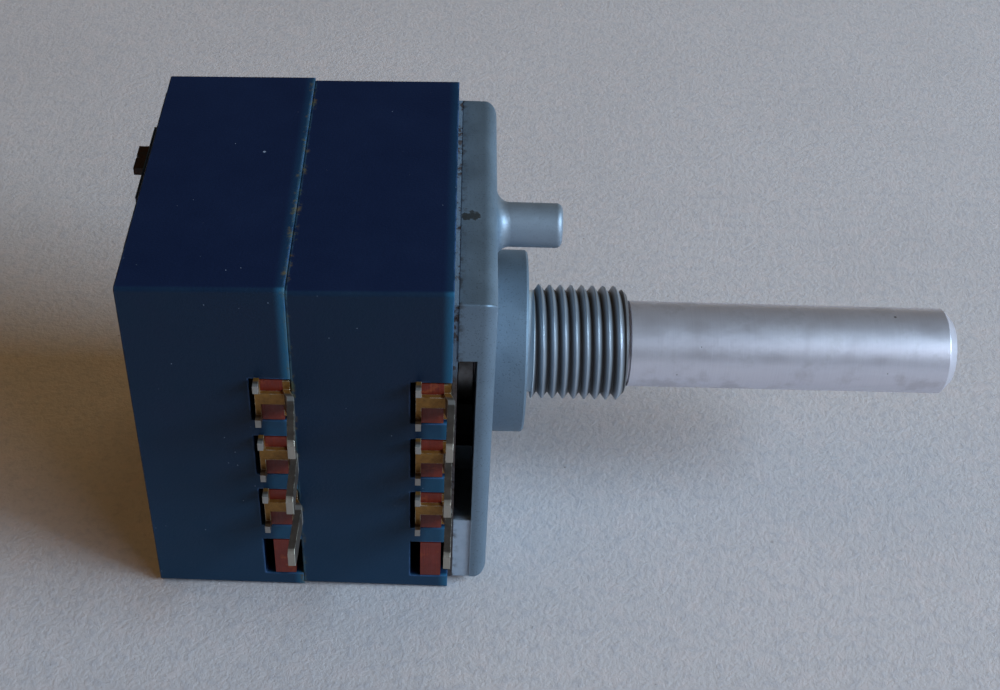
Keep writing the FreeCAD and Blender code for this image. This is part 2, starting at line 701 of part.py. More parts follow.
def board(label, mouth):
    """Paper laminate board with a tongue in each window."""
    body = new_body(label, mouth)
    plate = sketch_across(body, "plate", BOARD_BACK)
    width = "(seat_half_width - board_gap)"
    height = "(seat_half_height - board_gap)"
    draw_box(plate, f"-{width}", width, f"-{height}", height)
    pad(body, plate, "board_thickness")
    tongues = sketch_across(body, "tongues", BOARD_BACK)
    for place in range(-2, 2):
        middle = f"{place} * terminal_pitch - window_drop"
        half = "tongue_half_height"
        draw_box(tongues, "tongue_end", f"-{width} + 1", f"{middle} - {half}", f"{middle} + {half}")
    pad(body, tongues, "board_thickness")

    holes = sketch_across(body, "holes", BOARD_BACK)
    draw_circle(holes, "board_hole")
    for u in ("-stud_across", "stud_across"):
        for v in ("-stud_up", "stud_up"):
            draw_circle(holes, "stud_radius + board_gap", u, v)
    pocket(body, holes, "board_thickness")
    notches = sketch_across(body, "notches", BOARD_BACK)
    half = "(strap_half_width + 4 * strap_gap)"
    low = "strap_low - 4 * strap_gap"
    high = "seat_half_height + 1"
    draw_box(notches, f"strap_place - {half}", f"strap_place + {half}", low, high)
    draw_box(notches, f"-strap_place - {half}", f"-strap_place + {half}", f"-({high})", f"-({low})")
    pocket(body, notches, "board_thickness")
    return body


def track(label, mouth):
    """Printed carbon track on the back of the board, with a silvered pad at each end."""
    body = new_body(label, mouth)
    place = f"{BOARD_BACK} - track_thickness"
    ring = sketch_across(body, "ring", place)
    draw_circle(ring, "track_outer")
    draw_circle(ring, "track_inner")
    pad(body, ring, "track_thickness")
    gap = sketch_across(body, "gap", place)
    far = "-(track_outer + 1)"
    spread = "((track_outer + 1) * tan(track_gap_angle * pi / 180 * 1 rad))"
    draw_polygon(gap, [("0", "0"), (far, spread), (far, f"-{spread}")])
    pocket(body, gap, "track_thickness")
    pads = sketch_across(body, "pads", place)
    start = "-(track_inner * cos(track_gap_angle * pi / 180 * 1 rad) + pad_overlap)"
    for side in ("-", ""):
        near_edge = f"{side}(terminal_pitch - pad_half_height)"
        far_edge = f"{side}(terminal_pitch + pad_half_height)"
        draw_box(pads, "pad_end", start, near_edge, far_edge)
    pad(body, pads, "track_thickness")
    return body


def collector(label, mouth):
    """Brass ring inside the track, with a tail to the middle terminal."""
    body = new_body(label, mouth)
    place = f"{BOARD_BACK} - collector_thickness"
    tail = sketch_across(body, "tail", place)
    draw_box(tail, "pad_end", "-collector_inner - pad_overlap", "-collector_tail", "collector_tail")
    pad(body, tail, "collector_thickness")
    ring = sketch_across(body, "ring", place)
    draw_circle(ring, "collector_outer")
    draw_circle(ring, "collector_inner")
    pad(body, ring, "collector_thickness")
    return body


def terminal(label, mouth, place, bend):
    """Folded terminal: a blade and solder leg in front of the board, a strap over its edge, two ears behind.

    The bend is how far the leg's elbow and its tip stand off the blade's plane, towards the shaft's free end.
    """
    body = new_body(label, mouth)
    middle = f"{place} * terminal_pitch"
    blade = sketch_across(body, "blade", "-board_setback")
    half = "blade_half_height"
    draw_box(blade, "tongue_end", "blade_end", f"{middle} - {half}", f"{middle} + {half}")
    pad(body, blade, "blade_thickness")

    elbow, end = bend
    leg = sketch_side(body, "leg", f"{middle} - leg_half_height")
    rear = "-board_setback"
    front = "-board_setback + blade_thickness"
    draw_polygon(
        leg,
        [
            (rear, "tongue_end + leg_root"),
            (rear, "tongue_end - leg_bend"),
            (f"{rear} + {elbow}", "tongue_end - leg_elbow"),
            (f"{rear} + {end}", "leg_end"),
            (f"{front} + {end}", "leg_end"),
            (f"{front} + {elbow}", "tongue_end - leg_elbow"),
            (front, "tongue_end - leg_bend"),
            (front, "tongue_end + leg_root"),
        ],
    )
    pad(body, leg, "2 * leg_half_height")
    tip = number("leg_end")
    thickness = number("blade_thickness")

    def tip_corner(edge, middle):
        return near(middle.y, tip) and near(edge.Length, thickness)

    dress(body, "Chamfer", "tip", "leg_taper", tip_corner)

    wrap = sketch_across(body, "wrap", f"{BOARD_BACK} - back_thickness")
    low = f"{middle} + wrap_rise - wrap_half_height"
    high = f"{middle} + wrap_rise + wrap_half_height"
    draw_box(wrap, "tongue_end - wrap_thickness", "tongue_end", low, high)
    pad(body, wrap, "back_thickness + board_thickness + blade_thickness / 2")
    back = sketch_across(body, "back", f"{BOARD_BACK} - back_thickness")
    low, high = "ear_inner", "ear_outer"
    start = "tongue_end - wrap_thickness"
    draw_polygon(
        back,
        [
            ("pad_end", f"{middle} - {low}"),
            ("ear_root", f"{middle} - {low}"),
            ("ear_root", f"{middle} - {high}"),
            ("ear_end", f"{middle} - {high}"),
            ("ear_end", f"{middle} - {low}"),
            (start, f"{middle} - {low}"),
            (start, f"{middle} + {low}"),
            ("ear_end", f"{middle} + {low}"),
            ("ear_end", f"{middle} + {high}"),
            ("ear_root", f"{middle} + {high}"),
            ("ear_root", f"{middle} + {low}"),
            ("pad_end", f"{middle} + {low}"),
        ],
    )
    pad(body, back, "back_thickness")
    return body


def rotor(label, mouth):
    """Moulded rotor keyed on the shaft's flats."""
    body = new_body(label, mouth)
    disc = sketch_across(body, "disc", "rotor_front - rotor_thickness")
    draw_circle(disc, "rotor_radius")
    pad(body, disc, "rotor_thickness")
    skirt = sketch_across(body, "skirt", "rotor_front - rotor_thickness - rotor_skirt")
    draw_circle(skirt, "rotor_radius")
    draw_circle(skirt, "rotor_skirt_inner")
    pad(body, skirt, "rotor_skirt + rotor_thickness / 2")
    hub = sketch_across(body, "hub", "rotor_hub_back")
    draw_circle(hub, "rotor_hub_radius")
    pad(body, hub, "rotor_hub_front - rotor_hub_back")
    pegs = sketch_across(body, "pegs", "rotor_front - rotor_thickness / 2")
    for v in ("-peg_place", "peg_place"):
        draw_circle(pegs, "peg_radius", "0", v)
    pad(body, pegs, "rotor_thickness / 2 + peg_height")
    bore = sketch_across(body, "bore", "rotor_hub_back")
    draw_two_flats(bore, "drive_radius", "drive_flat")
    pocket(body, bore, "rotor_hub_front - rotor_hub_back")
    return body


def wiper(label, mouth):
    """Bronze spring: two fingers lean out to the carbon track, two lean in to the collector ring."""
    body = new_body(label, mouth)
    base = sketch_across(body, "base", "rotor_front")
    draw_circle(base, "wiper_outer")
    pad(body, base, "strip_thickness")
    ears = sketch_across(body, "ears", "rotor_front")
    draw_box(ears, "-wiper_ear_half", "wiper_ear_half", "-wiper_ear", "wiper_ear")
    pad(body, ears, "strip_thickness")
    lug = sketch_across(body, "lug", "rotor_front")
    reach = "(finger_split + finger_width)"
    draw_box(lug, "-track_contact - contact_flat", "0", f"-{reach}", reach)
    pad(body, lug, "strip_thickness")
    holes = sketch_across(body, "holes", "rotor_front")
    draw_circle(holes, "wiper_inner")
    for v in ("-peg_place", "peg_place"):
        draw_circle(holes, "peg_radius", "0", v)
    pocket(body, holes, "strip_thickness")

    back = "rotor_front"
    face = "(rotor_front + strip_thickness)"
    on_track = f"({BOARD_BACK} - track_thickness - contact_gap)"
    on_ring = f"({BOARD_BACK} - collector_thickness - contact_gap)"

    def finger_outline(root, bend, contact, plane):
        """A finger from its root on the base, over a bend, to a turned-up contact on a plane."""
        return [
            (back, root),
            (face, root),
            (face, bend),
            (plane, f"{contact} - contact_flat"),
            (plane, f"{contact} + contact_flat"),
            (f"{plane} - tip_drop", f"{contact} + tip_run"),
            (f"{plane} - tip_drop - tip_skew", f"{contact} + tip_run - tip_skew"),
            (f"{plane} - tip_thickness", contact),
            (back, f"{bend} + tip_skew"),
        ]

    out_root = "wiper_outer - finger_root"
    out_bend = "wiper_outer + tip_skew"
    in_root = "-track_contact - contact_flat"
    in_bend = "-track_contact + tip_run / 2"
    for kind, outline in (
        ("out", finger_outline(out_root, out_bend, "track_contact", on_track)),
        ("in", finger_outline(in_root, in_bend, "-ring_contact", on_ring)),
    ):
        for side, low in (("upper", "finger_split"), ("lower", "-finger_split - finger_width")):
            finger = sketch_side(body, f"finger_{kind}_{side}", low)
            draw_polygon(finger, outline)
            pad(body, finger, "finger_width")
    return body


def tie_strap(label, turned):
    """Steel strip from the casting to the rear face: peened in front, split and spread behind."""
    body = new_body(label)
    low = "strap_low"
    high = "strap_low + strap_thickness"
    strip = sketch_across(body, "strip", REAR_FACE)
    draw_box(strip, "strap_place - strap_half_width", "strap_place + strap_half_width", low, high)
    pad(body, strip, f"{PLATE_FRONT} - ({REAR_FACE})")
    head = sketch_across(body, "head", f"{PLATE_FRONT} - strap_head")
    over = "(strap_half_width + strap_head)"
    draw_box(head, f"strap_place - {over}", f"strap_place + {over}", f"{low} - strap_head", high)
    pad(body, head, "strap_head")
    tab = sketch_side(body, "tab", low)
    draw_polygon(
        tab,
        [
            (REAR_FACE, "strap_place - tab_half_width"),
            (REAR_FACE, "strap_place + tab_half_width"),
            ("tab_end", "strap_place + tab_half_width"),
            ("tab_end", "strap_place + tab_slit"),
            ("tab_end + tab_split", "strap_place"),
            ("tab_end", "strap_place - tab_slit"),
            ("tab_end", "strap_place - tab_half_width"),
        ],
    )
    pad(body, tab, "strap_thickness")
    if turned:
        body.Placement = FreeCAD.Placement(FreeCAD.Vector(), FreeCAD.Rotation(FreeCAD.Vector(1, 0, 0), 180))
    return body


def gang(prefix, mouth, last):
    """All pieces of one gang."""
    pieces = [housing(f"{prefix}_housing", mouth, last)]
    for kind, build in (("board", board), ("track", track), ("collector", collector)):
        pieces.append(build(f"{prefix}_{kind}", mouth))
    for place, name in ((1, "upper"), (0, "middle"), (-1, "lower")):
        label = f"{prefix}_terminal_{name}"
        pieces.append(terminal(label, mouth, place, LEG_BENDS[label]))
    pieces.append(rotor(f"{prefix}_rotor", mouth))
    pieces.append(wiper(f"{prefix}_wiper", mouth))
    return pieces


bodies = [
    front_plate(),
    insulator_sheet(),
    shaft(),
    thrust_washer(),
    retaining_ring(),
    stop_arm(),
    tie_strap("tie_strap_top", False),
    tie_strap("tie_strap_bottom", True),
]
bodies += gang("front", FRONT_MOUTH, False)
bodies += gang("rear", REAR_MOUTH, True)
doc.recompute()

for item in doc.Objects:
    if "Invalid" in item.State or "Error" in item.State:
        raise RuntimeError(f"{item.Name} failed: {item.State}")
for body in bodies:
    shape = body.Shape
    if shape.isNull() or not shape.isValid() or len(shape.Solids) != 1:
        raise RuntimeError(f"{body.Label} isn't one valid solid")

os.makedirs("parts", exist_ok=True)
for body in bodies:
    body.Shape.exportStep(os.path.join("parts", f"{body.Label}.step"))
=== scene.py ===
import json
import math

import bpy
from mathutils import Matrix, Vector


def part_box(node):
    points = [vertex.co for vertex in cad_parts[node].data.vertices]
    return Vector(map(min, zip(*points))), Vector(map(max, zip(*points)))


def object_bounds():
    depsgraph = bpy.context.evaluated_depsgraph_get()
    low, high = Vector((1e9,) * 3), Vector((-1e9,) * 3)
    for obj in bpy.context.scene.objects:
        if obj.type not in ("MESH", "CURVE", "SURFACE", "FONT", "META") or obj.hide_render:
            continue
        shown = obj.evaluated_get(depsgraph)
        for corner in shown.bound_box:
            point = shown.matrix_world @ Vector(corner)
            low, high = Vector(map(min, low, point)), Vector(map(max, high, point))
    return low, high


# Looks of the dual-gang potentiometer, in metres, in the CAD's own frame: +X along the shaft, +Z towards
# the locating pin, -Y towards the solder terminals. Object coordinates are therefore real positions on
# the part. No piece is added: every CAD node keeps its shape and gets a material.

MM = 0.001

# Most values of a noise lie between these.
NOISE_LOW = 0.3
NOISE_HIGH = 0.7

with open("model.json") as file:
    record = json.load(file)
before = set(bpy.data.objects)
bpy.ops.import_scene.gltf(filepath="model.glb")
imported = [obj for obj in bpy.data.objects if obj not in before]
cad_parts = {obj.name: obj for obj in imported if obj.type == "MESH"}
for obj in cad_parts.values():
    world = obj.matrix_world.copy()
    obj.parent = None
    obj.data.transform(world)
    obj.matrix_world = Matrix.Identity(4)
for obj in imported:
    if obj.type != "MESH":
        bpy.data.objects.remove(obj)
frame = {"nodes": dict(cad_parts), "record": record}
cad_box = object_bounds()
nodes = frame["nodes"]


# ---------------------------------------------------------------- helpers

class Graph:
    """Short calls for building one material's node tree.

    A mask is a value that runs from 0 to 1. Sizes and places are in metres.
    """

    def __init__(self, name):
        self.material = bpy.data.materials.new(name)
        self.material.use_nodes = True
        self.tree = self.material.node_tree
        self.shader = self.tree.nodes["Principled BSDF"]
        self.place = self.add("ShaderNodeTexCoord").outputs["Object"]
        parts = self.add("ShaderNodeSeparateXYZ")
        self.feed(parts.inputs["Vector"], self.place)
        self.x, self.y, self.z = parts.outputs

    def add(self, kind, **settings):
        node = self.tree.nodes.new(kind)
        for key, value in settings.items():
            setattr(node, key, value)
        return node

    def feed(self, socket, value):
        """Connects an output, or sets a plain value."""
        if isinstance(value, bpy.types.NodeSocket):
            self.tree.links.new(value, socket)
        elif socket.type == "RGBA":
            socket.default_value = (*value, 1.0)
        else:
            socket.default_value = value

    def math(self, operation, first, second=0.0, clamp=False):
        node = self.add("ShaderNodeMath", operation=operation, use_clamp=clamp)
        self.feed(node.inputs[0], first)
        self.feed(node.inputs[1], second)
        return node.outputs[0]

    def plus(self, first, second):
        return self.math("ADD", first, second)

    def minus(self, first, second, clamp=False):
        return self.math("SUBTRACT", first, second, clamp)

    def apart(self, first, second):
        """How far two values are from each other."""
        return self.math("ABSOLUTE", self.minus(first, second))

    def times(self, first, *others):
        """Product of all the values."""
        result = first
        for other in others:
            result = self.math("MULTIPLY", result, other)
        return result

    def most(self, first, *others):
        """The largest of the values."""
        result = first
        for other in others:
            result = self.math("MAXIMUM", result, other)
        return result

    def between(self, value, low, high):
        """Mask: 0 below low, 1 above high, smooth in between. Low may be the larger."""
        node = self.add("ShaderNodeMapRange", interpolation_type="SMOOTHSTEP")
        self.feed(node.inputs["Value"], value)
        self.feed(node.inputs["From Min"], low)
        self.feed(node.inputs["From Max"], high)
        return node.outputs["Result"]

    def grade(self, mask, low, high, start=0.0, end=1.0):
        """Runs evenly from low to high while the mask runs from start to end."""
        node = self.add("ShaderNodeMapRange")
        self.feed(node.inputs["Value"], mask)
        self.feed(node.inputs["From Min"], start)
        self.feed(node.inputs["From Max"], end)
        self.feed(node.inputs["To Min"], low)
        self.feed(node.inputs["To Max"], high)
        return node.outputs["Result"]

    def vary(self, noise, low, high):
        """Grades a noise, whose values mostly keep to its middle span, from low to high."""
        return self.grade(noise, low, high, NOISE_LOW, NOISE_HIGH)

    def mix(self, share, first, second):
        """First colour where the share is 0, second colour where it is 1."""
        node = self.add("ShaderNodeMix", data_type="RGBA")
        inputs = [entry for entry in node.inputs if entry.type == "RGBA"]
        self.feed(node.inputs["Factor"], share)
        self.feed(inputs[0], first)
        self.feed(inputs[1], second)
        return next(entry for entry in node.outputs if entry.type == "RGBA")

    def stretched(self, scale, offset):
        node = self.add("ShaderNodeMapping")
        self.feed(node.inputs["Vector"], self.place)
        node.inputs["Scale"].default_value = scale
        node.inputs["Location"].default_value = offset
        return node.outputs["Vector"]

    def noise(self, size=None, per_mm=None, detail=2.0, roughness=0.5, offset=(0.0, 0.0, 0.0), warp=0.0):
        """Noise with blobs about size metres across, or drawn out: per_mm blobs along each of X, Y and Z."""
        scale = [1.0 / size] * 3 if size else [count / MM for count in per_mm]
        node = self.add("ShaderNodeTexNoise")
        self.feed(node.inputs["Vector"], self.stretched(scale, offset))
        node.inputs["Scale"].default_value = 1.0
        node.inputs["Detail"].default_value = detail
        node.inputs["Roughness"].default_value = roughness
        node.inputs["Distortion"].default_value = warp
        return node.outputs["Fac"]

    def specks(self, spacing, radius, share, offset=(0.0, 0.0, 0.0)):
        """Mask of scattered round specks: a share of the cells of a given spacing holds one each."""
        core = 0.6 * radius
        node = self.add("ShaderNodeTexVoronoi")
        self.feed(node.inputs["Vector"], self.stretched([1.0 / spacing] * 3, offset))
        node.inputs["Scale"].default_value = 1.0
        inside = self.between(node.outputs["Distance"], radius / spacing, core / spacing)
        parts = self.add("ShaderNodeSeparateColor")
        self.feed(parts.inputs["Color"], node.outputs["Color"])
        chosen = self.math("LESS_THAN", parts.outputs["Red"], share)
        return self.times(inside, chosen)

    def from_axis(self, height=0.0):
        """Distance from the shaft's axis, or from a line along X that much above it."""
        above = self.minus(self.z, height)
        square = self.plus(self.math("POWER", self.y, 2.0), self.math("POWER", above, 2.0))
        return self.math("SQRT", square)

    def from_point(self, point):
        node = self.add("ShaderNodeVectorMath", operation="DISTANCE")
        self.feed(node.inputs[0], self.place)
        self.feed(node.inputs[1], point)
        return node.outputs["Value"]

    def rounded_normal(self, radius):
        """The surface's normal, turned near its edges as if they had this radius."""
        bevel = self.add("ShaderNodeBevel", samples=6)
        bevel.inputs["Radius"].default_value = radius
        return bevel.outputs["Normal"]

    def edges(self, radius):
        """Mask: 1 along sharp edges, 0 on flats."""
        flat = 0.995
        sharp = 0.85
        geometry = self.add("ShaderNodeNewGeometry")
        node = self.add("ShaderNodeVectorMath", operation="DOT_PRODUCT")
        self.feed(node.inputs[0], self.rounded_normal(radius))
        self.feed(node.inputs[1], geometry.outputs["Normal"])
        return self.between(node.outputs["Value"], flat, sharp)

    def bump(self, height, distance, strength, edge_radius=0.0):
        """Normal of a surface with this height pattern, with its edges eased by edge_radius."""
        node = self.add("ShaderNodeBump")
        node.inputs["Strength"].default_value = strength
        node.inputs["Distance"].default_value = distance
        self.feed(node.inputs["Height"], height)
        if edge_radius:
            self.feed(node.inputs["Normal"], self.rounded_normal(edge_radius))
        return node.outputs["Normal"]

    def finish(self, **inputs):
        """Feeds the shader's inputs, named with _ in place of each space, and gives the material."""
        for key, value in inputs.items():
            self.feed(self.shader.inputs[key.replace("_", " ")], value)
        return self.material


def srgb(red, green, blue):
    """Display colour, 0 to 255, as linear light."""

    def linear(value):
        value /= 255.0
        return value / 12.92 if value <= 0.04045 else ((value + 0.055) / 1.055) ** 2.4

    return (linear(red), linear(green), linear(blue))


def dress(names, material):
    """Gives CAD nodes their material."""
    for name in names:
        mesh = nodes[name].data
        mesh.materials.clear()
        mesh.materials.append(material)


def mount_place(name):
    """Where one of the record's mounts is."""
    mounts = frame["record"]["mounts"]
    return Vector(next(mount["pos_m"] for mount in mounts if mount["name"] == name))


# ---------------------------------------------------------------- blue moulding

def blue_moulding():
    """Navy phenolic: cloudy tone, mould grain, painted light on the terminal side, painted highlights on the
    edges, the window bars, the mouths' lips and the seam, dirt at the seam and dust.
    """
    g = Graph("blue_moulding")
    low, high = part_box("front_housing")
    near = g.between(g.y, low.y + 0.3 * MM, low.y + 0.1 * MM)
    cloud = g.noise(4.0 * MM, detail=4.0, roughness=0.6)
    grain = g.noise(0.18 * MM, detail=3.0, roughness=0.6)

    colour = g.mix(cloud, srgb(14, 28, 57), srgb(18, 34, 67))
    colour = g.mix(g.times(grain, 0.35), colour, srgb(4, 17, 42))
    # painted light on the terminal side
    colour = near_face_painted_light(g, colour, cloud, near)
    # painted highlights on the window bars and the mouths' lips
    for mouth in (high.x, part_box("rear_housing")[1].x):
        colour = mouth_painted_highlights(g, colour, cloud, near, mouth)
    # painted highlights along the corners
    colour = painted_edge_highlights(g, colour)
    colour, dirt = seam_highlight_and_dirt(g, colour, near)
    dust = g.most(g.specks(2.6 * MM, 0.12 * MM, 0.5), g.specks(0.9 * MM, 0.04 * MM, 0.5, (4.0, 9.0, 2.0)))
    colour = g.mix(g.times(dust, 0.75), colour, srgb(150, 166, 190))

    rough = g.plus(g.vary(cloud, 0.42, 0.58), g.times(dirt, 0.2))
    normal = g.bump(grain, 0.02 * MM, 0.7, edge_radius=0.12 * MM)
    return g.finish(Base_Color=colour, Roughness=rough, Normal=normal, Specular_IOR_Level=0.22)


def near_face_painted_light(g, colour, cloud, near):
    """Painted light: the terminal side is painted greener and paler than the top, and paler still towards
    its foot.
    """
    foot_top = 6.0 * MM
    foot = g.between(g.z, foot_top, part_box("front_housing")[0].z)
    colour = g.mix(g.times(near, g.vary(cloud, 0.5, 0.8)), colour, srgb(14, 40, 60))
    return g.mix(g.times(foot, near, 0.8), colour, srgb(21, 58, 86))


def mouth_painted_highlights(g, colour, cloud, near, mouth):
    """Painted highlights behind a housing's mouth: the bars between the windows and the lip along the mouth
    are painted paler, more on the terminal side than on top.
    """
    windows_middle = -2.5 * MM
    windows_reach = 7.6 * MM
    depth = g.minus(mouth, g.x)
    beside = g.between(g.apart(g.z, windows_middle), windows_reach, windows_reach - 0.4 * MM)
    bar = g.times(g.between(depth, 0.1 * MM, 0.3 * MM), g.between(depth, 2.2 * MM, 1.4 * MM))
    bar = g.times(bar, beside, near, g.vary(cloud, 0.4, 0.8))
    colour = g.mix(bar, colour, srgb(32, 80, 108))
    # painted highlight along the lip
    lip = g.times(g.between(depth, 0.75 * MM, 0.0), g.between(depth, -0.05 * MM, 0.0))
    return g.mix(g.times(lip, g.grade(near, 0.18, 0.85)), colour, srgb(38, 102, 136))


def painted_edge_highlights(g, colour):
    """Painted highlight: pale blue, in patches, along the corners."""
    patches = g.between(g.noise(1.2 * MM, detail=3.0), 0.35, 0.6)
    return g.mix(g.times(g.edges(0.25 * MM), patches, 0.45), colour, srgb(86, 122, 176))


def seam_highlight_and_dirt(g, colour, near):
    """A painted highlight, as a pale line, and rust-brown and green dirt where the housings meet. Gives the
    dirt's mask too.
    """
    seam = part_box("rear_board")[1].x + 0.5 * MM
    from_seam = g.apart(g.x, seam)
    # painted highlight line along the seam, stronger on the terminal side
    line = g.times(g.between(from_seam, 0.2 * MM, 0.08 * MM), g.grade(near, 0.3, 0.7))
    line = g.times(line, g.between(g.noise(1.3 * MM, detail=4.0, roughness=0.7), 0.38, 0.56))
    colour = g.mix(line, colour, srgb(72, 108, 122))
    clumps = g.between(g.noise(0.9 * MM, detail=5.0, roughness=0.75), 0.52, 0.64)
    dirt = g.times(g.between(from_seam, 0.4 * MM, 0.1 * MM), clumps)
    tint = g.mix(g.noise(0.9 * MM, offset=(7.0, 3.0, 1.0)), srgb(104, 62, 38), srgb(74, 104, 72))
    return g.mix(g.times(dirt, 0.8), colour, tint), dirt


# ---------------------------------------------------------------- die-cast zinc

def die_cast_zinc():
    """Blue-grey zinc casting: satin skin and fine pits, with the places where it looks different."""
    g = Graph("die_cast_zinc")
    cloud = g.noise(3.0 * MM, detail=4.0, roughness=0.6)
    pits = g.noise(0.12 * MM)
    bush = bush_mask(g)

    colour = g.mix(cloud, srgb(110, 130, 147), srgb(132, 149, 163))
    colour = g.mix(g.times(g.between(pits, 0.42, 0.3), 0.35), colour, srgb(70, 78, 88))
    rubbed = g.most(bush, g.times(pin_mask(g), 0.5))
    colour = g.mix(rubbed, colour, g.mix(cloud, srgb(156, 166, 176), srgb(186, 194, 204)))
    # painted light on the rim under its side opening
    colour, foot_light = painted_light_foot(g, colour)
    colour, collar, groove = collar_highlight_and_thread_grime(g, colour, bush)
    # painted shade in the bush's bore
    colour = bore_painted_shade(g, colour)
    colour = joint_grime(g, colour)
    colour, stain = rim_stain(g, colour)

    rough = g.minus(g.vary(cloud, 0.5, 0.64), g.times(bush, 0.14))
    rough = g.plus(rough, g.times(stain, 0.3))
    skin = g.plus(g.times(pits, 0.6), g.noise(0.5 * MM, detail=3.0))
    normal = g.bump(skin, 0.02 * MM, 0.6, edge_radius=0.08 * MM)
    dull = g.most(stain, foot_light, g.times(groove, 0.7), collar)
    metal = g.minus(0.75, g.times(dull, 0.6), clamp=True)
    return g.finish(Base_Color=colour, Metallic=metal, Roughness=rough, Normal=normal)


def bush_mask(g):
    """The machined bush, in front of the mounting face."""
    bush_radius = 4.02 * MM
    inside = g.between(g.from_axis(), bush_radius + 0.03 * MM, bush_radius)
    return g.times(g.between(g.x, 0.02 * MM, 0.1 * MM), inside)


def pin_mask(g):
    """The locating pin and a little of the skin around it."""
    pin_radius = 1.5 * MM
    from_pin = g.from_axis(mount_place("locating_pin").z)
    return g.between(from_pin, pin_radius + 0.4 * MM, pin_radius)


def painted_light_foot(g, colour):
    """Painted light: the rim under its side opening is painted paler, with dark pits. Gives its mask too."""
    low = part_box("front_plate")[0]
    opening_low = -6.6 * MM
    rim_depth = 1.15 * MM
    foot_light = g.times(g.between(g.y, low.y + 0.7 * MM, low.y + 0.3 * MM),
                  g.between(g.z, opening_low, opening_low - 0.3 * MM),
                  g.between(g.x, low.x + rim_depth + 0.15 * MM, low.x + rim_depth))
    metal = g.mix(g.noise(0.7 * MM, detail=4.0, roughness=0.6), srgb(148, 166, 184), srgb(184, 196, 210))
    holes = g.specks(0.8 * MM, 0.09 * MM, 0.5, (2.0, 6.0, 1.0))
    metal = g.mix(g.times(holes, 0.8), metal, srgb(60, 66, 76))
    return g.mix(foot_light, colour, metal), foot_light


def collar_highlight_and_thread_grime(g, colour, bush):
    """A painted highlight on the collar before the thread, and grime in its grooves. Gives both masks too.
    """
    collar_end = 0.45 * MM
    thread_start = 0.62 * MM
    crest_radius = 3.97 * MM
    root_radius = 3.66 * MM
    collar = g.times(bush, g.between(g.x, thread_start, collar_end))
    # painted highlight: the collar is painted bright
    colour = g.mix(collar, colour, srgb(214, 228, 236))
    threaded = g.times(bush, g.between(g.x, collar_end, thread_start))
    groove = g.times(threaded, g.between(g.from_axis(), crest_radius, root_radius))
    grime = g.mix(g.noise(0.5 * MM, detail=3.0), srgb(26, 26, 24), srgb(64, 50, 38))
    return g.mix(g.times(groove, 0.8), colour, grime), collar, groove


def bore_painted_shade(g, colour):
    """Painted shade: the bush's bore is painted near black."""
    bore_radius = 3.05 * MM
    bore = g.between(g.from_axis(), bore_radius + 0.35 * MM, bore_radius)
    return g.mix(g.times(bore, 0.9), colour, srgb(20, 20, 22))


def joint_grime(g, colour):
    """Brown grime, in patches, at the back of the rim, where it meets the housing."""
    rim_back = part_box("front_plate")[0].x
    patches = g.between(g.noise(0.9 * MM, detail=4.0, roughness=0.65), 0.45, 0.65)
    grime = g.times(g.between(g.x, rim_back + 0.5 * MM, rim_back), patches)
    return g.mix(g.times(grime, 0.7), colour, srgb(66, 54, 44))


def rim_stain(g, colour):
    """One ragged dark stain on top of the rim. Gives its mask too."""
    low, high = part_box("front_plate")
    centre = Vector((low.x + 0.55 * MM, -2.2 * MM, high.z))
    radius = 1.25 * MM
    ragged = g.plus(g.from_point(centre), g.times(g.noise(0.55 * MM, detail=4.0), 1.6 * MM))
    stain = g.between(ragged, radius + 0.2 * MM, radius)
    brown = g.mix(g.noise(0.3 * MM, detail=3.0, offset=(5.0, 1.0, 2.0)), srgb(8, 9, 6), srgb(32, 28, 14))
    return g.mix(g.times(stain, 0.92), colour, brown), stain


# ---------------------------------------------------------------- other metals

def turned_aluminium():
    """Turned bar: rings left by the tool, a slightly mottled tone and a few dark pits."""
    g = Graph("turned_aluminium")
    rings = g.noise(per_mm=(16.0, 0.22, 0.22), detail=3.0, roughness=0.7)
    streaks = g.noise(per_mm=(0.09, 0.7, 0.7), detail=3.0)
    cloud = g.noise(2.2 * MM, detail=4.0, roughness=0.6)
    colour = g.mix(g.times(g.plus(rings, streaks), 0.5), srgb(214, 212, 224), srgb(245, 243, 250))
    colour = g.mix(g.times(g.between(cloud, 0.5, 0.7), 0.25), colour, srgb(150, 140, 134))
    pits = g.most(g.specks(1.3 * MM, 0.06 * MM, 0.4), g.specks(3.1 * MM, 0.12 * MM, 0.3, (3.0, 5.0, 8.0)))
    colour = g.mix(g.times(pits, 0.7), colour, srgb(70, 62, 54))
    height = g.plus(rings, g.times(pits, -2.0))
    normal = g.bump(height, 0.006 * MM, 0.8, edge_radius=0.06 * MM)
    return g.finish(Base_Color=colour, Metallic=0.8, Roughness=g.vary(cloud, 0.35, 0.47), Normal=normal)


def sheet_metal(name, light, dark, tarnish, tarnish_share, roughness, metallic=0.9):
    """Stamped sheet: rolled grain, blotchy tarnish and brighter sheared edges."""
    g = Graph(name)
    grain = g.noise(per_mm=(2.5, 0.5, 2.5), detail=3.0, roughness=0.6)
    cloud = g.noise(0.7 * MM, detail=5.0, roughness=0.65)
    colour = g.mix(grain, dark, light)
    colour = g.mix(g.times(g.between(cloud, 0.42, 0.62), tarnish_share), colour, tarnish)
    colour = g.mix(g.times(g.edges(0.05 * MM), 0.5), colour, light)
    rough = g.vary(cloud, roughness - 0.06, roughness + 0.14)
    normal = g.bump(g.plus(grain, cloud), 0.008 * MM, 0.6, edge_radius=0.04 * MM)
    return g.finish(Base_Color=colour, Metallic=metallic, Roughness=rough, Normal=normal)


def dark_steel():
    return sheet_metal("dark_steel", srgb(70, 64, 60), srgb(38, 36, 36), srgb(84, 52, 34), 0.5, 0.5, 0.6)


def plated_steel():
    return sheet_metal("plated_steel", srgb(190, 190, 192), srgb(140, 140, 144), srgb(120, 104, 84), 0.3,
                       0.35)


def bronze():
    return sheet_metal("bronze", srgb(212, 160, 92), srgb(168, 118, 60), srgb(110, 70, 40), 0.4, 0.3)


